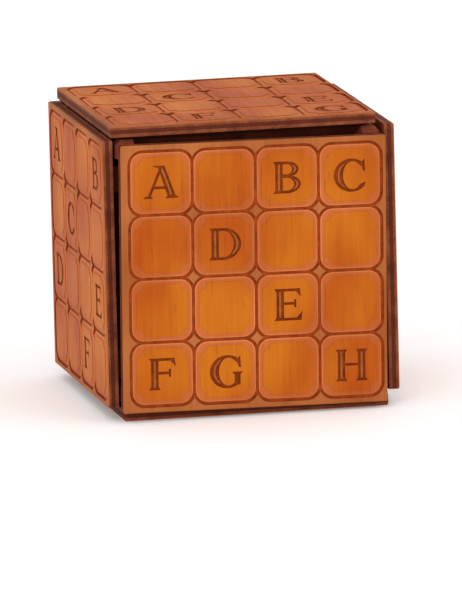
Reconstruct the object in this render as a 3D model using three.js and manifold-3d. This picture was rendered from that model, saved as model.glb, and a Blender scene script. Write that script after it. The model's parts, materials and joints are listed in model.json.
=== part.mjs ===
// A wooden cryptex cube: a hidden drawer inside a carcass, locked by letter plates that slide over
// the cube's faces. Millimetres, +Z up, the front faces -Y, and the origin is under the middle of
// the base.
//
// Six square plates float around the carcass. Five of them are glued to T-shaped sliders that run
// between rails. The front, right, top and bottom sliders carry a brass pin that reaches through
// the wall into a gate in the drawer, so a plate that is off its home position holds the drawer.
// The left plate is a decoy. The back plate is the drawer's front.
import * as THREE from 'three'
import { ConvexGeometry } from 'three/addons/geometries/ConvexGeometry.js'
import { mergeVertices } from 'three/addons/utils/BufferGeometryUtils.js'
import Module from 'manifold-3d'

const wasm = await Module()
wasm.setup()

// Plates and the cube's main sizes
const CELL = 18 // one letter cell of the plates
const PLATE = 4.2 * CELL // a 4 x 4 grid with a margin of a tenth of a cell
const PLY = 3 // every board is cut from 3 mm plywood
const PLATE_GAP = 0.9 // air between a plate and the edges of its neighbours
const CORE_HALF = PLATE / 2 // the corner blocks reach as far as the plates' edges
const PLATE_IN = CORE_HALF + PLATE_GAP // a plate's inner face, from the middle of the cube
const CUBE_HALF = PLATE_IN + PLY // a plate's outer face
const PLATE_CORNER = 0.6 // radius of a plate's corners

const GLUE = 0.05 // glue line, and the side clearance of glued joints
const RUN = 0.3 // running clearance

// Carcass
const WALL_OUT = 32.8 // a wall's outer face
const WALL_IN = WALL_OUT - PLY
const FINGERS = 5 // finger joints along each edge of the carcass

// Corner blocks
const BLOCK_FACE = 5.2 // width of the block's faces
const BLOCK_CHAMFER = 1.6
const BLOCK_TOE = 1.5 // the inner cube that sits in the carcass's notched corner

// Sliders and rails
const TRAVEL = CELL // a plate slides by one cell
const SLIDER_LENGTH = 40
const SLIDER_IN = WALL_OUT + RUN
const TONGUE_HALF = 25.3
const TONGUE_TOP = SLIDER_IN + 2.6
const STEM_HALF = 22
const RAIL_OUTER = WALL_IN
const RAIL_TOP = PLATE_IN - RUN

// Brass pins
const PIN_R = 2
const PIN_SLOT = PIN_R + RUN // half the width of the slots that the pins run in
const PIN_SEAT = 3.9 // depth of a pin in its slider
const PIN_OFFSET = 17 // how far behind the middle the pins of the ring of four plates sit
const BOLT_HEAD_R = 4
const BOLT_HEAD = 2

// Drawer
const DRAWER_OUT = WALL_IN - 0.4
const DRAWER_IN = DRAWER_OUT - PLY
const DRAWER_TOP = 29
const DRAWER_TRAVEL = 41
const GATE_SLACK = 2.2 // how far off home a plate may be with the drawer still free
const GATE_BAR = { near: 8, far: 14.6, low: 23, notch: 26.3 }

// Each face's frame: u across, v along the plate's travel, w outwards. "rest" is how far the plate
// stands from home, along v, and "askew" is how far it is turned, in degrees.
const FACES = {
  front: { u: [1, 0, 0], v: [0, 0, 1], w: [0, -1, 0], rest: -1.5, askew: -0.8 },
  back: { u: [-1, 0, 0], v: [0, 0, 1], w: [0, 1, 0], rest: 0, askew: 0 },
  left: { u: [0, 0, 1], v: [0, 1, 0], w: [-1, 0, 0], rest: 0.5, askew: 0 },
  right: { u: [0, 1, 0], v: [0, 0, 1], w: [1, 0, 0], rest: 0.5, askew: 0 },
  top: { u: [0, 1, 0], v: [-1, 0, 0], w: [0, 0, 1], rest: 1.4, askew: 0 },
  bottom: { u: [0, 1, 0], v: [1, 0, 0], w: [0, 0, -1], rest: 0.6, askew: 0 },
}

const material = (color, roughness, metalness = 0) =>
  new THREE.MeshStandardMaterial({ color, roughness, metalness })
const STAINED = material(0xc86a2e, 0.5)
const BURNT = material(0x8a4a36, 0.7)
const INNER = material(0x9c5230, 0.65)
const BRASS = material(0xb8923f, 0.35, 1)

const cube = new THREE.Group()
cube.position.z = CUBE_HALF

const frames = {}
for (const [name, { u, v, w }] of Object.entries(FACES)) {
  const axes = new THREE.Matrix4().makeBasis(
    new THREE.Vector3(...u), new THREE.Vector3(...v), new THREE.Vector3(...w))
  frames[name] = new THREE.Group()
  frames[name].quaternion.setFromRotationMatrix(axes)
  cube.add(frames[name])
}

function add(parent, name, geometry, finish) {
  const mesh = new THREE.Mesh(geometry, finish)
  mesh.name = name
  parent.add(mesh)
  return mesh
}

// Geometry helpers, all in a face's own u, v, w

/** A flat outline in u and v, as a board between two depths. */
function board(outline, low, high, holes = []) {
  outline.holes.push(...holes)
  const options = { depth: high - low, bevelEnabled: false, curveSegments: 6 }
  return new THREE.ExtrudeGeometry(outline, options).translate(0, 0, low)
}

const polygon = (points) => new THREE.Shape(points.map(([x, y]) => new THREE.Vector2(x, y)))

const rectangle = (u0, v0, u1, v1) => polygon([[u0, v0], [u1, v0], [u1, v1], [u0, v1]])

/** A bar with a constant outline: drawn in w and u, and run along v. */
function alongV(points, length) {
  const options = { depth: length, bevelEnabled: false }
  const turn = new THREE.Matrix4().makeBasis(
    new THREE.Vector3(0, 0, 1), new THREE.Vector3(1, 0, 0), new THREE.Vector3(0, 1, 0))
  return new THREE.ExtrudeGeometry(polygon(points), options)
    .translate(0, 0, -length / 2).applyMatrix4(turn)
}

/** A bar with a constant outline: drawn in v and w, and run along u. */
function alongU(points, low, high) {
  const options = { depth: high - low, bevelEnabled: false }
  const turn = new THREE.Matrix4().makeBasis(
    new THREE.Vector3(0, 1, 0), new THREE.Vector3(0, 0, 1), new THREE.Vector3(1, 0, 0))
  return new THREE.ExtrudeGeometry(polygon(points), options)
    .translate(0, 0, low).applyMatrix4(turn)
}

/** A round pin along w. */
const pin = (radius, low, high) =>
  new THREE.CylinderGeometry(radius, radius, high - low, 24).rotateX(Math.PI / 2)
    .translate(0, 0, (low + high) / 2)

/** A slot with round ends, along v, as a hole for a board. */
function slot(u, low, high, radius) {
  const path = new THREE.Path()
  path.absarc(u, high, radius, 0, Math.PI, false)
  path.absarc(u, low, radius, Math.PI, 2 * Math.PI, false)
  path.closePath()
  return path
}

function toSolid(geometry) {
  const bare = geometry.clone()
  bare.deleteAttribute('normal')
  bare.deleteAttribute('uv')
  const merged = mergeVertices(bare, 1e-4)
  return new wasm.Manifold(new wasm.Mesh({
    numProp: 3,
    vertProperties: Float32Array.from(merged.attributes.position.array),
    triVerts: Uint32Array.from(merged.index.array),
  }))
}

function cut(geometry, tool) {
  const mesh = toSolid(geometry).subtract(toSolid(tool)).getMesh()
  const result = new THREE.BufferGeometry()
  result.setAttribute('position', new THREE.BufferAttribute(mesh.vertProperties, 3))
  result.setIndex(new THREE.BufferAttribute(mesh.triVerts, 1))
  result.computeVertexNormals()
  return result
}

// Plates

function plateGeometry() {
  const h = PLATE / 2
  const r = PLATE_CORNER
  const outline = new THREE.Shape()
  outline.absarc(h - r, h - r, r, 0, Math.PI / 2, false)
  outline.absarc(r - h, h - r, r, Math.PI / 2, Math.PI, false)
  outline.absarc(r - h, r - h, r, Math.PI, 1.5 * Math.PI, false)
  outline.absarc(h - r, r - h, r, 1.5 * Math.PI, 2 * Math.PI, false)
  return board(outline, PLATE_IN, CUBE_HALF)
}

for (const [name, { rest, askew }] of Object.entries(FACES)) {
  const plate = add(frames[name], `${name}_plate`, plateGeometry(), STAINED)
  plate.position.y = rest
  plate.rotation.z = THREE.MathUtils.degToRad(askew)
}

// Carcass walls, finger-jointed along their edges

const STRAIGHT = 'straight'
const EVEN = 'even' // the first, third and fifth fingers belong to this wall
const ODD = 'odd'

/** The points of one side, from its start to its end, drawn as the side at +u going up. */
function sidePoints(kind) {
  if (kind === STRAIGHT) return [[WALL_OUT, -WALL_IN], [WALL_OUT, WALL_IN]]
  const points = []
  const width = (2 * WALL_IN) / FINGERS
  for (let i = 0; i < FINGERS; i++) {
    const owned = (i % 2 === 0) === (kind === EVEN)
    if (!owned) continue
    const low = -WALL_IN + i * width + GLUE
    const high = low + width - 2 * GLUE
    points.push([WALL_IN - GLUE, low], [WALL_OUT, low], [WALL_OUT, high], [WALL_IN - GLUE, high])
  }
  return points
}

/** A wall's outline: the sides at +u, +v, -u and -v, with its corners left to the corner blocks. */
function wallOutline(kinds) {
  const corner = WALL_IN - GLUE
  const points = []
  kinds.forEach((kind, quarter) => {
    const c = Math.round(Math.cos((quarter * Math.PI) / 2))
    const s = Math.round(Math.sin((quarter * Math.PI) / 2))
    for (const [x, y] of [[corner, -corner], ...sidePoints(kind)]) {
      points.push([c * x - s * y, s * x + c * y])
    }
  })
  return polygon(points)
}

const WALLS = {
  front: [EVEN, EVEN, EVEN, EVEN],
  left: [ODD, STRAIGHT, ODD, ODD],
  right: [STRAIGHT, ODD, ODD, ODD],
  top: [STRAIGHT, EVEN, ODD, EVEN],
  bottom: [STRAIGHT, EVEN, ODD, EVEN],
}

const pinPlace = (name) => (['right', 'top', 'bottom'].includes(name) ? PIN_OFFSET : 0)

for (const [name, kinds] of Object.entries(WALLS)) {
  const start = Math.min(0, FACES[name].rest)
  const run = slot(pinPlace(name), start, TRAVEL, PIN_SLOT)
  add(frames[name], `${name}_wall`, board(wallOutline(kinds), WALL_IN, WALL_OUT, [run]), INNER)
}

// Rails, sliders and pins of the five sliding plates

function railGeometry(side) {
  const low = WALL_OUT + GLUE
  const step = TONGUE_TOP + RUN
  const foot = TONGUE_HALF + RUN
  const points = [
    [low, foot], [low, RAIL_OUTER], [RAIL_TOP, RAIL_OUTER],
    [RAIL_TOP, STEM_HALF + RUN], [step, STEM_HALF + RUN], [step, foot],
  ]
  const mirrored = points.map(([w, u]) => [w, side * u])
  return alongV(mirrored, 2 * WALL_OUT)
}

function sliderGeometry(pinU) {
  const top = PLATE_IN - GLUE
  const points = [
    [SLIDER_IN, TONGUE_HALF], [TONGUE_TOP, TONGUE_HALF], [TONGUE_TOP, STEM_HALF],
    [top, STEM_HALF], [top, -STEM_HALF], [TONGUE_TOP, -STEM_HALF],
    [TONGUE_TOP, -TONGUE_HALF], [SLIDER_IN, -TONGUE_HALF],
  ]
  const seat = pin(PIN_R + GLUE, SLIDER_IN - 1, SLIDER_IN + PIN_SEAT + GLUE)
  return cut(alongV(points, SLIDER_LENGTH), seat.translate(pinU, 0, 0))
}

/** The front plate's bolt, whose head passes the drawer's keyhole only at home. */
function boltGeometry(high) {
  const neck = DRAWER_IN - RUN
  const points = [
    [0, neck - BOLT_HEAD], [BOLT_HEAD_R - 0.5, neck - BOLT_HEAD],
    [BOLT_HEAD_R, neck - BOLT_HEAD + 0.5], [BOLT_HEAD_R, neck],
    [PIN_R, neck], [PIN_R, high], [0, high],
  ]
  return new THREE.LatheGeometry(points.map(([r, w]) => new THREE.Vector2(r, w)), 24)
    .rotateX(Math.PI / 2)
}

for (const name of Object.keys(WALLS)) {
  const frame = frames[name]
  const { rest } = FACES[name]
  const pinU = pinPlace(name)
  add(frame, `${name}_rail_1`, railGeometry(-1), INNER)
  add(frame, `${name}_rail_2`, railGeometry(1), INNER)
  add(frame, `${name}_slider`, sliderGeometry(pinU), INNER).position.y = rest

  const seated = SLIDER_IN + PIN_SEAT
  const tip = name === 'left' ? WALL_IN + RUN : DRAWER_IN + RUN
  const isBolt = name === 'front'
  const shape = isBolt ? boltGeometry(seated) : pin(PIN_R, tip, seated)
  const kind = isBolt ? 'lock_bolt' : name === 'left' ? 'stop_pin' : 'lock_pin'
  add(frame, `${name}_${kind}`, shape, BRASS).position.set(pinU, rest, 0)
}

// Corner blocks, glued into the carcass's notched corners

function blockGeometry(signs) {
  const face = CORE_HALF - BLOCK_FACE
  const bevel = CORE_HALF - BLOCK_CHAMFER
  const toe = WALL_IN + RUN
  const boxes = [
    [[face, CORE_HALF], [face, bevel], [face, bevel]],
    [[face, bevel], [face, CORE_HALF], [face, bevel]],
    [[face, bevel], [face, bevel], [face, CORE_HALF]],
    [[toe, toe + BLOCK_TOE], [toe, toe + BLOCK_TOE], [toe, toe + BLOCK_TOE]],
  ]
  const points = []
  for (const [xs, ys, zs] of boxes) {
    for (const x of xs) for (const y of ys) for (const z of zs) {
      points.push(new THREE.Vector3(signs[0] * x, signs[1] * y, signs[2] * z))
    }
  }
  return new ConvexGeometry(points)
}

for (const [xName, x] of [['left', -1], ['right', 1]]) {
  for (const [yName, y] of [['front', -1], ['back', 1]]) {
    for (const [zName, z] of [['bottom', -1], ['top', 1]]) {
      add(cube, `corner_${yName}_${xName}_${zName}`, blockGeometry([x, y, z]), BURNT)
    }
  }
}

// Drawer

/** The L-shaped gate of a ring plate's pin: the drawer's way out along u, and the plate's along v. */
function gate() {
  const start = PIN_OFFSET - DRAWER_TRAVEL - PIN_SLOT
  const end = PIN_OFFSET + PIN_SLOT
  const high = PIN_SLOT + GATE_SLACK
  return polygon([
    [start, -PIN_SLOT], [end, -PIN_SLOT], [end, TRAVEL + PIN_SLOT],
    [end - 2 * PIN_SLOT, TRAVEL + PIN_SLOT], [end - 2 * PIN_SLOT, high], [start, high],
  ])
}

/** The front bolt's keyhole: its head passes the round part, and only its shank fits the slot. */
function keyhole() {
  const r = BOLT_HEAD_R + 0.4
  const low = FACES.front.rest - 0.3
  const meet = Math.acos(PIN_SLOT / r)
  const path = new THREE.Path()
  path.absarc(0, TRAVEL, PIN_SLOT, 0, Math.PI, false)
  path.absarc(0, 0, r, Math.PI - meet, Math.PI, false)
  path.absarc(0, low, r, Math.PI, 2 * Math.PI, false)
  path.absarc(0, 0, r, 0, meet, false)
  path.closePath()
  return path
}

const inside = DRAWER_IN - GLUE // half the room between two boards of the drawer
const sideOutline = (u0, v0, u1, v1, holes = []) =>
  board(rectangle(u0, v0, u1, v1), DRAWER_IN, DRAWER_OUT, holes)

add(frames.bottom, 'drawer_floor',
  sideOutline(-DRAWER_OUT, -DRAWER_OUT, DRAWER_OUT, DRAWER_OUT, [gate()]), INNER)
add(frames.right, 'drawer_right_side',
  sideOutline(-DRAWER_OUT, -inside, DRAWER_OUT, DRAWER_TOP, [gate()]), INNER)
add(frames.left, 'drawer_left_side',
  sideOutline(-inside, -DRAWER_OUT, DRAWER_TOP, DRAWER_OUT), INNER)
add(frames.front, 'drawer_inner_end',
  sideOutline(-inside, -inside, inside, DRAWER_TOP, [keyhole()]), INNER)
add(frames.back, 'drawer_outer_end',
  sideOutline(-inside, -inside, inside, DRAWER_TOP), INNER)

const { near, far, low, notch } = GATE_BAR
const notchEnd = PIN_SLOT + GATE_SLACK
add(frames.top, 'drawer_gate_bar', alongU([
  [-inside, low], [inside, low], [inside, DRAWER_TOP], [notchEnd, DRAWER_TOP],
  [notchEnd, notch], [-PIN_SLOT, notch], [-PIN_SLOT, DRAWER_TOP], [-inside, DRAWER_TOP],
], near, far), INNER)

const blockOutline = rectangle(-STEM_HALF, -STEM_HALF, STEM_HALF, STEM_HALF)
add(frames.back, 'drawer_pull_block',
  board(blockOutline, DRAWER_OUT + GLUE, PLATE_IN - GLUE), INNER)

export default cube
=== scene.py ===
"""The looks of the cryptex cube: six engraved, stained letter plates around a darker plywood core."""

import json
import math

import bpy
import bmesh
from mathutils import Matrix, Vector
from mathutils.geometry import delaunay_2d_cdt


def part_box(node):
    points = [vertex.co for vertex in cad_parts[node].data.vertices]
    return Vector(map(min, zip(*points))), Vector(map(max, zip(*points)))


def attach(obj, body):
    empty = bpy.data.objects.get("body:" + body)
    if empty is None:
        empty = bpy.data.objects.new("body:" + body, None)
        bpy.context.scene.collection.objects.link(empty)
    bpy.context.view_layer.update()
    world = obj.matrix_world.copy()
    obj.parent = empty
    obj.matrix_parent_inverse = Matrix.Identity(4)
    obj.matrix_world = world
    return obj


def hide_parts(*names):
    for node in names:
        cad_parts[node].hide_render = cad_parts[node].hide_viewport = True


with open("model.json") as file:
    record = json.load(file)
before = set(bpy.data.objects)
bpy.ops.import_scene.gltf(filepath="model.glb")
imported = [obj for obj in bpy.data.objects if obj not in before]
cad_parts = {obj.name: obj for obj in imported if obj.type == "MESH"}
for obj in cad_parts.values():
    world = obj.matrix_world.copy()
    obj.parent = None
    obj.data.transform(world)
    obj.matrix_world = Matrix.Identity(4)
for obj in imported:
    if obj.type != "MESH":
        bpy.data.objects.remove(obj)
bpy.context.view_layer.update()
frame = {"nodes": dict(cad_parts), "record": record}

MM = 0.001

# Each face's right and up, as seen from outside, and its cells, row by row from the top.
# The cells marked # carry the letters of a plain index, in reading order, as a dial carries numbers.
INDEX = "ABCDEFGH"
FACES = {
    "front": ((1, 0, 0), (0, 0, 1), ["#.##", ".#..", "..#.", "##.#"]),
    "back": ((-1, 0, 0), (0, 0, 1), ["..##", "#...", ".##.", "#..#"]),
    "left": ((0, -1, 0), (0, 0, 1), ["#..#", ".#..", "#..#", "..#."]),
    "right": ((0, 1, 0), (0, 0, 1), [".#.#", "#..#", "..#.", "##.."]),
    "top": ((1, 0, 0), (0, 1, 0), ["#..#", ".#..", "#..#", ".#.#"]),
    "bottom": ((1, 0, 0), (0, -1, 0), ["..##", "#...", ".#.#", "#.#."]),
}
ASKEW = {"front": math.radians(-0.8)}  # the front plate hangs a little turned, as in the CAD model

# Sizes of a plate, in millimetres
plate_low, plate_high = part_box("back_plate")
HALF = (plate_high[0] - plate_low[0]) / 2 / MM
PLY = (plate_high[1] - plate_low[1]) / MM
CELL = 2 * HALF / 4.2
GRID_SHIFT = 0.5  # how far the engraving sits right of a plate's middle
CORNER = 0.6
EDGE_ROUND = 0.3  # width and drop of the plate's rounded-over edge
LINE = 0.85  # width of the burnt outlines
TILE_HALF = CELL / 2 - LINE / 2
TILE_CORNER = 3.4
RIM = 0.35  # width of the slope around a tile
RIM_DROP = 0.3
BAND = 1.25  # width of the pale band around a tile's field
CUT = 2.4  # how much of each side a field's cut corner takes
SAG = 0.3  # how hollow the cut is
LINE_DEPTH = 0.45
BAND_DEPTH = 0.1
LETTER_DEPTH = 0.35
INLINE_DEPTH = 0.12

# Letters, in millimetres from the cell's middle
CAP = 4.5  # half the letters' height
STEM = 2.1  # thick strokes
THIN = 0.75
INLINE = 0.6  # the paler line inside a thick stroke
SERIF = 3.4

# Ranks of the regions of a plate's face: where outlines overlap, the higher rank shows
EDGE, BORDER, GROOVE, SLOPE, RING, FIELD, LETTER, CORE, WALL, SIDE, BACK = range(11)


# ---------------------------------------------------------------- outlines

def arc(centre, radius, start, end, steps):
    """Points on a circle or, with two radii, an ellipse, from one angle to another in degrees."""
    rx, ry = radius if isinstance(radius, tuple) else (radius, radius)
    angles = [math.radians(start + (end - start) * i / steps) for i in range(steps + 1)]
    return [(centre[0] + rx * math.cos(a), centre[1] + ry * math.sin(a)) for a in angles]


def rounded_square(centre, half, radius, steps=8):
    points = []
    for quarter, (sx, sy) in enumerate([(1, 1), (-1, 1), (-1, -1), (1, -1)]):
        middle = (centre[0] + sx * (half - radius), centre[1] + sy * (half - radius))
        points += arc(middle, radius, 90 * quarter, 90 * quarter + 90, steps)
    return points


def notched_square(centre, half, cut, sag, steps=6):
    """A square whose corners are cut off by slightly hollow lines."""
    points = []
    for sx, sy in [(1, 1), (-1, 1), (-1, -1), (1, -1)]:
        for i in range(steps + 1):
            share = i / steps if sx == sy else 1 - i / steps
            inwards = sag * 4 * share * (1 - share)
            x = half - cut * share - inwards
            y = half - cut * (1 - share) - inwards
            points.append((centre[0] + sx * x, centre[1] + sy * y))
    return points


def bar(x0, y0, x1, y1, width):
    """A straight stroke from one point to another."""
    along = Vector((x1 - x0, y1 - y0)).normalized()
    side = Vector((-along.y, along.x)) * width / 2
    a, b = Vector((x0, y0)), Vector((x1, y1))
    return [tuple(p) for p in (a - side, b - side, b + side, a + side)]


def serif(x, y, up, width=SERIF, depth=1.1, neck=STEM):
    """A flared foot at the end of a stroke. up is 1 at the top of a letter and -1 at its foot."""
    left = [(x - width / 2, y), (x - width / 2 + 0.3, y - up * 0.35), (x - neck / 2, y - up * depth)]
    right = [(2 * x - px, py) for px, py in reversed(left)]
    return left + right


def flare(x, y, up, reach, height):
    """The small wedge at the end of a thin arm."""
    return [(x - reach, y), (x, y), (x + 0.3, y + up * height), (x - 0.35, y + up * height * 0.6)]


def crescent(centre, outer, inner, start, end, shift=0.0, steps=24):
    """The stroke between two ellipses, the inner one moved right by shift."""
    hole = (centre[0] + shift, centre[1])
    return arc(centre, outer, start, end, steps) + arc(hole, inner, end, start, steps)


def stem(x, low=-CAP, high=CAP):
    """A thick upright with serifs, and its paler line."""
    ink = [bar(x, low, x, high, STEM), serif(x, high, 1), serif(x, low, -1)]
    return ink, [bar(x, low + 0.8, x, high - 0.8, INLINE)]


def bowl(x, y, reach, half, wall=STEM):
    """The round of a B or a D, right of a stem, and its paler line."""
    ink = [crescent((x, y), (reach, half), (reach - wall, half - THIN), -90, 90)]
    ends = (half - THIN / 2, THIN / 2 - half)
    ink += [bar(x - 2.2, y + end, x + 0.05, y + end, THIN) for end in ends]
    middle = reach - wall / 2
    outer, inner = (middle + INLINE / 2, half - 0.6), (middle - INLINE / 2, half - 0.8)
    return ink, [crescent((x, y), outer, inner, -50, 50, steps=12)]


def letter_a():
    foot = -CAP + 0.2
    ink = [[(-0.9, 4.9), (1.1, 4.9), (4.4, foot), (2.1, foot)], bar(0.0, 4.1, -3.4, foot + 0.3, THIN),
           bar(-2.0, -1.3, 2.4, -1.3, THIN), [(-2.5, 4.9), (0.2, 4.9), (0.2, 4.1), (-1.2, 4.4)],
           serif(-3.6, foot, -1, 2.8, 0.7, THIN), serif(3.2, foot, -1, 3.8, 0.8)]
    return ink, [bar(0.4, 4.0, 3.0, foot + 0.9, INLINE)]


def letter_b():
    ink, core = stem(-2.3)
    for middle, reach, half in ((CAP - 2.2, 3.3, 2.2), (2.55 - CAP, 3.9, 2.55)):
        round_ink, round_core = bowl(0.0, middle, reach, half, 1.9)
        ink += round_ink
        core += round_core
    return ink, core


def round_stroke():
    """The open round that C and G share, and its paler line."""
    centre = (0.4, -0.2)
    ink = [crescent(centre, (5.0, 4.7), (2.75, 3.95), 48, 318, shift=0.35, steps=32),
           [(2.4, 3.4), (3.5, 3.6), (4.1, 4.3), (4.3, 0.9), (3.8, 1.0), (3.3, 2.2), (2.6, 2.8)]]
    return ink, [crescent(centre, (3.95, 3.95), (3.4, 3.7), 122, 238, steps=14)]


def letter_c():
    ink, core = round_stroke()
    return ink + [[(2.8, -2.8), (3.6, -3.8), (4.1, -3.3), (4.5, -2.2)]], core


def letter_d():
    ink, core = stem(-2.7)
    round_ink, round_core = bowl(-0.4, 0.0, 5.1, CAP)
    return ink + round_ink, core + round_core


def arms(foot_reach=None):
    """A stem with the thin arms that E and F share, and E's foot where its reach is given."""
    ink, core = stem(-2.3)
    arm = -2.3 + STEM / 2 - 0.2
    top, foot = CAP - THIN / 2, THIN / 2 - CAP
    ink += [bar(arm, top, 3.4, top, THIN), flare(3.4, CAP - THIN, -1, 1.2, 1.6),
            bar(arm, 0.3, 1.9, 0.3, THIN), [(1.7, -0.75), (2.3, -0.9), (2.3, 1.5), (1.7, 1.35)]]
    if foot_reach:
        ink += [bar(arm, foot, foot_reach, foot, THIN), flare(foot_reach, THIN - CAP, 1, 1.4, 1.9)]
    return ink, core


def letter_e():
    return arms(foot_reach=3.8)


def letter_f():
    return arms()


def letter_g():
    ink, core = round_stroke()
    return ink + [bar(3.3, -4.0, 3.3, -0.5, 1.7), serif(3.3, -0.3, 1, 3.0, 0.8, 1.7)], core


def letter_h():
    left, left_core = stem(-2.9)
    right, right_core = stem(2.9)
    return left + right + [bar(-2.2, 0.2, 2.2, 0.2, THIN)], left_core + right_core


GLYPHS = {"A": letter_a, "B": letter_b, "C": letter_c, "D": letter_d,
          "E": letter_e, "F": letter_f, "G": letter_g, "H": letter_h}


# ---------------------------------------------------------------- engraved plates

def inside_square(point, half, radius):
    """How far inside a rounded square a point lies."""
    qx, qy = (abs(c) - (half - radius) for c in point)
    return radius - math.hypot(max(qx, 0), max(qy, 0)) - min(max(qx, qy), 0)


def height(rank, point):
    """The face's height in a region, in millimetres, at a point: rounded, so that equal ones match."""
    if rank == EDGE:
        share = min(max(inside_square(point, HALF, CORNER) / EDGE_ROUND, 0), 1)
        return round(-EDGE_ROUND * (1 - share), 3)
    if rank == SLOPE:
        shifted = (point[0] - GRID_SHIFT, point[1])
        in_cell = [(c / CELL - math.floor(c / CELL) - 0.5) * CELL for c in shifted]
        share = min(max(inside_square(in_cell, TILE_HALF, TILE_CORNER) / RIM, 0), 1)
        return round(-RIM_DROP + (RIM_DROP - BAND_DEPTH) * share, 3)
    return {BORDER: 0, GROOVE: -LINE_DEPTH, RING: -BAND_DEPTH, FIELD: 0,
            LETTER: -LETTER_DEPTH, CORE: -INLINE_DEPTH}[rank]


def plate_outlines(rows):
    """Every outline on a plate's face, with its rank."""
    found = [(EDGE, rounded_square((0, 0), HALF, CORNER, 4)),
             (BORDER, rounded_square((0, 0), HALF - EDGE_ROUND, CORNER - EDGE_ROUND, 4))]
    letters = iter(INDEX)
    for row, marks in enumerate(rows):
        for column, mark in enumerate(marks):
            centre = ((column - 1.5) * CELL + GRID_SHIFT, (1.5 - row) * CELL)
            found += [(GROOVE, rounded_square(centre, TILE_HALF + LINE, TILE_CORNER + LINE)),
                      (SLOPE, rounded_square(centre, TILE_HALF, TILE_CORNER)),
                      (RING, rounded_square(centre, TILE_HALF - RIM, TILE_CORNER - RIM)),
                      (FIELD, notched_square(centre, TILE_HALF - BAND, CUT, SAG))]
            if mark == "#":
                ink, core = GLYPHS[next(letters)]()
                found += [(rank, [(centre[0] + x, centre[1] + y) for x, y in outline])
                          for rank, outlines in ((LETTER, ink), (CORE, core)) for outline in outlines]
    return found


INSIDE_ONLY = 1  # the triangulation's setting that keeps only what lies inside an outline
MERGE = 1e-4  # points closer than this are one, in millimetres


def flat_map(outlines):
    """The outlines' flat arrangement: its points, its triangles, and each triangle's rank."""
    points, faces = [], []
    for _, outline in outlines:
        area = sum(a[0] * b[1] - b[0] * a[1] for a, b in zip(outline, outline[1:] + outline[:1]))
        ordered = outline if area > 0 else outline[::-1]
        faces.append(list(range(len(points), len(points) + len(ordered))))
        points += [Vector(p) for p in ordered]
    points, _, triangles, _, _, origins = delaunay_2d_cdt(points, [], faces, INSIDE_ONLY, MERGE)
    ranks = [max((outlines[i][0] for i in found), default=EDGE) for found in origins]
    return points, triangles, ranks


class Relief:
    """A plate's mesh in the making: each point of its flat map has a vertex at each of its heights."""

    def __init__(self, points):
        self.bm = bmesh.new()
        self.points = points
        self.made = {}
        self.levels = {}

    def vertex(self, index, level):
        """The vertex of a point at a height, made when first asked for."""
        if (index, level) not in self.made:
            x, y = self.points[index]
            self.made[index, level] = self.bm.verts.new((x * MM, y * MM, level * MM))
            self.levels.setdefault(index, set()).add(level)
        return self.made[index, level]

    def column(self, index, start, end):
        """A point's vertices from one height to another, both included."""
        low, high = min(start, end), max(start, end)
        between = sorted(level for level in self.levels[index] if low <= level <= high)
        ordered = between if start <= end else between[::-1]
        return [self.made[index, level] for level in ordered]

    def add_regions(self, triangles, ranks):
        """The flat and sloping faces. Returns, for each edge, its ends' heights in each triangle there."""
        sides = {}
        for triangle, rank in zip(triangles, ranks):
            heights = [height(rank, self.points[i]) for i in triangle]
            face = self.bm.faces.new([self.vertex(i, h) for i, h in zip(triangle, heights)])
            face.material_index = rank
            for k in range(3):
                a, b = triangle[k], triangle[(k + 1) % 3]
                pair = {a: heights[k], b: heights[(k + 1) % 3]}
                sides.setdefault(frozenset((a, b)), []).append(pair)
        return sides

    def add_walls(self, sides):
        """An upright wall wherever two regions meet at different heights. Returns the outer edges."""
        outer = []
        for edge, owners in sides.items():
            a, b = tuple(edge)
            if len(owners) == 1:
                outer.append((a, b, owners[0]))
                continue
            one, two = owners
            loop = self.column(a, one[a], two[a]) + self.column(b, two[b], one[b])
            if len(loop) > 2 and one != two:
                self.bm.faces.new(loop).material_index = WALL
        return outer

    def add_sides_and_back(self, outer):
        """The plate's edge faces, down to its back, and the back itself."""
        ends = {i for a, b, _ in outer for i in (a, b)}
        low = {i: self.bm.verts.new((self.points[i].x * MM, self.points[i].y * MM, -PLY * MM))
               for i in ends}
        bottom = []
        for a, b, heights in outer:
            top = [self.made[a, heights[a]], self.made[b, heights[b]]]
            self.bm.faces.new(top + [low[b], low[a]]).material_index = SIDE
            bottom.append(self.bm.edges.get((low[a], low[b])))
        back = bmesh.ops.triangle_fill(self.bm, edges=bottom, use_beauty=True)
        for face in back["geom"]:
            if isinstance(face, bmesh.types.BMFace):
                face.material_index = BACK


def engraved_mesh(name, rows):
    """One closed solid: the face's regions at their heights, joined by upright walls, sides and back."""
    points, triangles, ranks = flat_map(plate_outlines(rows))
    relief = Relief(points)
    outer = relief.add_walls(relief.add_regions(triangles, ranks))
    relief.add_sides_and_back(outer)
    bmesh.ops.recalc_face_normals(relief.bm, faces=relief.bm.faces)
    mesh = bpy.data.meshes.new(name)
    relief.bm.to_mesh(mesh)
    relief.bm.free()
    return mesh


# ---------------------------------------------------------------- materials

def linear(red, green, blue):
    """An 8-bit screen colour, as a linear one."""
    def one(value):
        c = value / 255
        return c / 12.92 if c <= 0.04045 else ((c + 0.055) / 1.055) ** 2.4
    return (one(red), one(green), one(blue), 1)


def tree_and_shader(material):
    tree = material.node_tree
    return tree, next(n for n in tree.nodes if n.type == "BSDF_PRINCIPLED")


def new_material(name):
    material = bpy.data.materials.new(name)
    material.use_nodes = True
    return material, *tree_and_shader(material)


def node(tree, kind, settings=(), links=()):
    """A node with its settings, and its inputs linked from sockets or set to values."""
    made = tree.nodes.new(kind)
    for key, value in dict(settings).items():
        setattr(made, key, value)
    for key, value in dict(links).items():
        if isinstance(value, bpy.types.NodeSocket):
            tree.links.new(value, made.inputs[key])
        else:
            made.inputs[key].default_value = value
    return made


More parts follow.
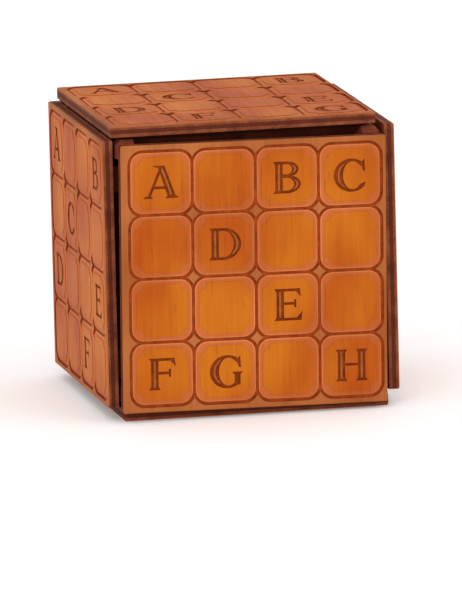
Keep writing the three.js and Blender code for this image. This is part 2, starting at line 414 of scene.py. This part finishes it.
def maths(tree, operation, *values):
    """The result of a Math node."""
    return node(tree, "ShaderNodeMath", {"operation": operation}, dict(enumerate(values))).outputs[0]


PIECE_SHIFT = 53.0  # how far apart two pieces' patterns may start


def grain_point(tree, stretch=(1, 1, 1)):
    """Object coordinates, shifted for each piece so that no two look alike, and stretched."""
    place = node(tree, "ShaderNodeTexCoord").outputs["Object"]
    info = node(tree, "ShaderNodeObjectInfo").outputs["Random"]
    moved = node(tree, "ShaderNodeVectorMath", {"operation": "MULTIPLY_ADD"}, {0: place, 1: stretch})
    tree.links.new(maths(tree, "MULTIPLY", info, PIECE_SHIFT), moved.inputs[2])
    return moved.outputs[0]


def noise(tree, point, scale, detail=3.0, rough=0.55, warp=0.0):
    made = node(tree, "ShaderNodeTexNoise", {}, {"Vector": point, "Scale": scale, "Detail": detail,
                                                "Roughness": rough, "Distortion": warp})
    return made.outputs["Fac"]


def scaled(tree, factor, low, high, to_low, to_high):
    """A value mapped from one range to another."""
    made = node(tree, "ShaderNodeMapRange", {}, {"Value": factor, "From Min": low, "From Max": high,
                                                 "To Min": to_low, "To Max": to_high})
    return made.outputs[0]


def blend_colour(tree, factor, one, two, kind="MIX"):
    """One colour where the factor is nought, and the blend with two where it is one."""
    settings = {"data_type": "RGBA", "blend_type": kind}
    return node(tree, "ShaderNodeMix", settings, {"Factor": factor, 6: one, 7: two}).outputs[2]


def ramp(tree, factor, low, high, dark, light):
    """A colour that goes from dark at low to light at high."""
    return blend_colour(tree, scaled(tree, factor, low, high, 0.0, 1.0), dark, light)


def add_bump(tree, shader, pattern, strength, distance):
    """Relief in the surface's shading; distance is in metres."""
    bump = node(tree, "ShaderNodeBump", {}, {"Strength": strength, "Distance": distance, "Height": pattern})
    tree.links.new(bump.outputs[0], shader.inputs["Normal"])


def along_grain(grain_axis, along, across):
    """A pattern's scale on each axis, per metre: long along the grain and fine across it."""
    return tuple(along if axis == grain_axis else across for axis in range(3))


STAIN_GLOSS = 0.1  # the stained wood is nearly matt
FIBRES = (40, 900)  # how fine the streaks and pores are along and across the grain, per metre
CLOUDS = (28, 48)  # the same for the stain's clouds
FAINT_STREAK = (0.93, 0.90, 0.86, 1)  # tints that multiply the stain's colour
BOLD_STREAK = (0.80, 0.74, 0.68, 1)
PALE_STREAK = (1.04, 1.04, 1.04, 1)
PORE_TINT = (0.45, 0.32, 0.25, 1)


def wood(name, dark, light, grain_axis=1, pore=0.35, rough=(0.38, 0.55), bump=0.12, coat=0.0,
         streak_tint=FAINT_STREAK):
    """Stained veneer: cloudy colour, fine streaks along the grain, and short dark pores."""
    material, tree, shader = new_material(name)
    streak_point = grain_point(tree, along_grain(grain_axis, *FIBRES))
    cloud = noise(tree, grain_point(tree, along_grain(grain_axis, *CLOUDS)), 1.0, 2.0, 0.45, 0.2)
    streak = noise(tree, streak_point, 1.0, 4.0, 0.6, 0.3)
    pores = noise(tree, streak_point, 2.6, 2.0, 0.5)
    base = ramp(tree, cloud, 0.36, 0.66, dark, light)
    tint = ramp(tree, streak, 0.32, 0.68, streak_tint, PALE_STREAK)
    streaked = blend_colour(tree, 1.0, base, tint, "MULTIPLY")
    in_pore = scaled(tree, pores, 0.62, 0.74, 0.0, pore)
    pored = blend_colour(tree, in_pore, streaked, PORE_TINT, "MULTIPLY")
    tree.links.new(pored, shader.inputs["Base Color"])
    tree.links.new(scaled(tree, streak, 0.3, 0.7, rough[1], rough[0]), shader.inputs["Roughness"])
    add_bump(tree, shader, streak, bump, 0.2 * MM)
    shader.inputs["Specular IOR Level"].default_value = STAIN_GLOSS
    shader.inputs["Coat Weight"].default_value = coat
    shader.inputs["Coat Roughness"].default_value = 0.3
    return material


def char(name, dark, light):
    """Laser-burnt wood: uneven brown, with the scorch's fine ribs."""
    material, tree, shader = new_material(name)
    soot = noise(tree, grain_point(tree), 420, 4.0, 0.65)
    ribs = noise(tree, grain_point(tree, (300, 4000, 300)), 1.0, 1.0)
    tree.links.new(ramp(tree, soot, 0.32, 0.68, dark, light), shader.inputs["Base Color"])
    shader.inputs["Specular IOR Level"].default_value = STAIN_GLOSS
    tree.links.new(scaled(tree, soot, 0.3, 0.7, 0.87, 0.65), shader.inputs["Roughness"])
    add_bump(tree, shader, ribs, 0.3, 0.1 * MM)
    return material


GLUE_SHADE = 0.45  # the glue line's brightness next to the core ply's


def ply_edge_colour(tree, across, dark, light, core):
    """Plywood seen from its edge: end grain between two outer plies, scorched by the laser.

    across runs from nought to one through each board, so a third of it is one ply.
    """
    layer = maths(tree, "PINGPONG", across, 0.5)
    in_core = scaled(tree, layer, 0.325, 0.342, 0.0, 1.0)
    scorch = noise(tree, grain_point(tree), 190, 4.0, 0.6)
    fibres = noise(tree, grain_point(tree, (1700, 1700, 1700)), 1.0, 3.0, 0.7)
    sooty = maths(tree, "ADD", maths(tree, "MULTIPLY_ADD", fibres, 0.55, -0.27), scorch)
    outer = ramp(tree, sooty, 0.3, 0.7, dark, light)
    inner = ramp(tree, sooty, 0.3, 0.7, core, dark)
    plies = blend_colour(tree, in_core, outer, inner)
    off_joint = maths(tree, "ABSOLUTE", maths(tree, "SUBTRACT", layer, 1 / 3))
    glue = tuple(GLUE_SHADE * c for c in core[:3]) + (1,)
    return blend_colour(tree, scaled(tree, off_joint, 0.008, 0.026, 0.75, 0.0), plies, glue)


def ply_edge(name, dark, light, core):
    """The edge of a plate, whose own depth runs from minus its thickness to nought."""
    material, tree, shader = new_material(name)
    place = node(tree, "ShaderNodeTexCoord").outputs["Object"]
    depth = node(tree, "ShaderNodeSeparateXYZ", {}, {0: place}).outputs[2]
    across = scaled(tree, depth, -PLY * MM, 0.0, 0.0, 1.0)
    tree.links.new(ply_edge_colour(tree, across, dark, light, core), shader.inputs["Base Color"])
    shader.inputs["Roughness"].default_value = 0.7
    shader.inputs["Specular IOR Level"].default_value = STAIN_GLOSS
    streaks = noise(tree, grain_point(tree, (1200, 1200, 60)), 1.0, 3.0)
    add_bump(tree, shader, streaks, 0.25, 0.2 * MM)
    return material


def plate_materials():
    """One material for each rank, in the ranks' order."""
    bare = (0.58, 0.72)  # the roughness of wood with little lacquer on it
    burnt = char("burnt_line", linear(126, 48, 10), linear(164, 70, 20))
    band = wood("pale_band", linear(176, 86, 38), linear(196, 104, 50), pore=0.3, rough=bare, bump=0.08)
    # the rim's slope is real relief, but its colour, paler than the band's, is a painted highlight along
    # the tile's bevelled edge
    rim_highlight = wood("tile_rim_highlight", linear(196, 104, 52), linear(216, 124, 70), pore=0.2, rough=bare, bump=0.05)
    field = wood("lacquered_field", linear(176, 75, 6), linear(199, 109, 16), pore=0.4,
                 rough=(0.5, 0.64), coat=0.04)
    border = wood("border", linear(160, 86, 40), linear(182, 106, 56), pore=0.4, rough=bare)
    letter = char("burnt_letter", linear(112, 44, 6), linear(146, 62, 16))
    core = char("letter_core", linear(148, 74, 28), linear(176, 94, 40))
    side = ply_edge("plate_edge", linear(104, 46, 26), linear(152, 82, 52), linear(82, 34, 20))
    back = wood("plate_back", linear(120, 58, 30), linear(150, 80, 42))
    by_rank = {EDGE: border, BORDER: border, GROOVE: burnt, SLOPE: rim_highlight, RING: band, FIELD: field,
               LETTER: letter, CORE: core, WALL: burnt, SIDE: side, BACK: back}
    return [by_rank[rank] for rank in sorted(by_rank)]


# ---------------------------------------------------------------- build

def plate_place(face):
    """A plate's own frame: x right, y up and z out, with its origin in the middle of its outer face."""
    right, up = (Vector(axis) for axis in FACES[face][:2])
    out = right.cross(up)
    low, high = (Vector(corner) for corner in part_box(f"{face}_plate"))
    middle = (low + high) / 2 + out * PLY * MM / 2
    axes = Matrix((right, up, out)).transposed().to_4x4()
    return Matrix.Translation(middle) @ axes @ Matrix.Rotation(ASKEW.get(face, 0), 4, "Z")


def build_plates():
    """The six engraved plates, each riding on its own body and standing for its CAD node."""
    finishes = plate_materials()
    for face, (_, _, rows) in FACES.items():
        mesh = engraved_mesh(f"{face}_letters", rows)
        for material in finishes:
            mesh.materials.append(material)
        plate = bpy.data.objects.new(f"{face}_engraved_plate", mesh)
        bpy.context.scene.collection.objects.link(plate)
        plate.matrix_world = plate_place(face)
        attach(plate, "drawer" if face == "back" else f"{face}_panel")
        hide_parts(f"{face}_plate")


def board_material(name, axis, sheets, dark, light, edge_dark, edge_light):
    """One or more sheets of plywood, thin along an axis: veneer on the faces, plies on the edges."""
    grain = 2 if axis != 2 else 1
    material = wood(name, dark, light, grain_axis=grain, pore=0.7, rough=(0.5, 0.7),
                    streak_tint=BOLD_STREAK)
    tree, shader = tree_and_shader(material)
    face_colour = shader.inputs["Base Color"].links[0].from_socket
    coordinates = node(tree, "ShaderNodeTexCoord")
    normal = node(tree, "ShaderNodeSeparateXYZ", {}, {0: coordinates.outputs["Normal"]}).outputs[axis]
    across = node(tree, "ShaderNodeSeparateXYZ", {}, {0: coordinates.outputs["Generated"]}).outputs[axis]
    plies = maths(tree, "MULTIPLY", across, float(sheets))
    edge = ply_edge_colour(tree, plies, edge_dark, edge_light, edge_dark)
    on_face = scaled(tree, maths(tree, "ABSOLUTE", normal), 0.45, 0.65, 0.0, 1.0)
    tree.links.new(blend_colour(tree, on_face, edge, face_colour), shader.inputs["Base Color"])
    return material


def brass():
    """Lathe-turned brass, a little uneven in colour and gloss."""
    material, tree, shader = new_material("turned_brass")
    turned = noise(tree, grain_point(tree), 900, 2.0)
    tree.links.new(ramp(tree, turned, 0.3, 0.7, linear(170, 128, 62), linear(206, 166, 92)),
                   shader.inputs["Base Color"])
    tree.links.new(scaled(tree, turned, 0.3, 0.7, 0.22, 0.4), shader.inputs["Roughness"])
    shader.inputs["Metallic"].default_value = 1.0
    return material


TONES = {  # face dark and light, edge dark and light
    "carcass_wood": (linear(156, 62, 36), linear(184, 84, 48), linear(86, 32, 20), linear(124, 50, 30)),
    "guide_wood": (linear(150, 64, 34), linear(180, 88, 48), linear(84, 34, 20), linear(122, 54, 32)),
    "drawer_wood": (linear(150, 78, 38), linear(182, 104, 54), linear(86, 42, 22), linear(128, 68, 38)),
}
SOFT_EDGE = 0.25 * MM
SHARP = math.radians(40)  # an edge that turns by more than this is softened


def board_key(name, slot, made):
    """The name of a board's material, which is made the first time that it is needed."""
    low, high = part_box(name)
    sizes = [high[i] - low[i] for i in range(3)]
    axis = sizes.index(min(sizes))
    sheets = max(1, round(sizes[axis] / (PLY * MM)))
    key = f"{slot}_{'xyz'[axis]}_{sheets}"
    if key not in made:
        made[key] = board_material(key, axis, sheets, *TONES[slot])
    return key


def soften(obj):
    """Round an object's sharp edges a little, as sanding does."""
    soft = obj.modifiers.new("soft_edges", "BEVEL")
    soft.width = SOFT_EDGE
    soft.segments = 2
    soft.limit_method = "ANGLE"
    soft.angle_limit = SHARP


def finish_cad_nodes():
    """Materials and softened edges for the CAD nodes that stay."""
    slots = {part["node"]: part["material_slot"] for part in frame["record"]["subparts"]}
    block = wood("corner_block", linear(120, 54, 38), linear(156, 82, 58), grain_axis=2, pore=0.6,
                 rough=(0.55, 0.7), streak_tint=BOLD_STREAK)
    made = {"corner_block": block, "brass_pin": brass()}
    for name, obj in frame["nodes"].items():
        if obj.hide_render:
            continue
        slot = slots[name]
        key = board_key(name, slot, made) if slot in TONES else slot
        obj.data.materials.clear()
        obj.data.materials.append(made[key])
        soften(obj)


# ---------------------------------------------------------------- stage, light and camera

WHITE = (1, 1, 1, 1)
FLOOR_SIZE = 8  # metres
FLOOR_WHITE = (0.97, 0.97, 0.97, 1)
FLOOR_GLOW = 0.12  # the floor gives a little light of its own, so that it stays white everywhere
WORLD_STRENGTH = 0.9
LIGHT_TARGET = (0, 0, 0.04)  # the middle of the cube
SOFTBOX = 0.8  # the side of a square light, in metres


def build_stage():
    """A white floor and an even white world."""
    bpy.ops.mesh.primitive_plane_add(size=FLOOR_SIZE, location=(0, 0, 0))
    floor = bpy.context.object
    floor.name = "floor"
    material, _, shader = new_material("floor_white")
    shader.inputs["Base Color"].default_value = FLOOR_WHITE
    shader.inputs["Roughness"].default_value = 0.9
    shader.inputs["Emission Color"].default_value = WHITE
    shader.inputs["Emission Strength"].default_value = FLOOR_GLOW
    floor.data.materials.append(material)
    world = bpy.data.worlds.new("studio")
    bpy.context.scene.world = world
    world.use_nodes = True
    background = world.node_tree.nodes["Background"]
    background.inputs["Color"].default_value = WHITE
    background.inputs["Strength"].default_value = WORLD_STRENGTH


def area_light(name, place, power):
    """A square soft light of a power in watts that looks at the cube."""
    data = bpy.data.lights.new(name, "AREA")
    data.shape = "SQUARE"
    data.size = SOFTBOX
    data.energy = power
    lamp = bpy.data.objects.new(name, data)
    lamp.location = place
    lamp.rotation_euler = (Vector(LIGHT_TARGET) - Vector(place)).to_track_quat("-Z", "Y").to_euler()
    bpy.context.scene.collection.objects.link(lamp)


AZIMUTH = math.radians(-12)
ELEVATION = math.radians(10)
ROLL = math.radians(1.4)
DISTANCE = 3.4  # from the camera to the middle of its view, in metres
FRAME_TALL = 0.1675  # what the frame's height takes in at the front plate, in metres
AIM = (6.3, 7.4)  # the front plate's middle, right of and above the middle of the frame, in millimetres


def build_camera():
    """A long lens from a little left of the front and above, turned by the photograph's slight roll."""
    data = bpy.data.cameras.new("camera")
    data.sensor_width = 36
    data.lens = data.sensor_width * DISTANCE / FRAME_TALL
    camera = bpy.data.objects.new("camera", data)
    back = Vector((math.sin(AZIMUTH) * math.cos(ELEVATION), -math.cos(AZIMUTH) * math.cos(ELEVATION),
                   math.sin(ELEVATION)))
    low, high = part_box("front_plate")
    middle = Vector([(a + b) / 2 for a, b in zip(low, high)])
    look = (-back).to_track_quat("-Z", "Y").to_matrix()
    turned = look @ Matrix.Rotation(-ROLL, 3, "Z")
    right, up = turned.col[0], turned.col[1]
    target = middle - (right * AIM[0] + up * AIM[1]) * MM
    camera.matrix_world = Matrix.Translation(target + back * DISTANCE) @ turned.to_4x4()
    bpy.context.scene.collection.objects.link(camera)
    bpy.context.scene.camera = camera


bpy.context.scene.view_settings.view_transform = "Standard"
build_plates()
finish_cad_nodes()
build_stage()
area_light("key", place=(-0.5, -1.1, 1.0), power=4)
area_light("fill", place=(0.9, -0.9, 0.6), power=2)
build_camera()
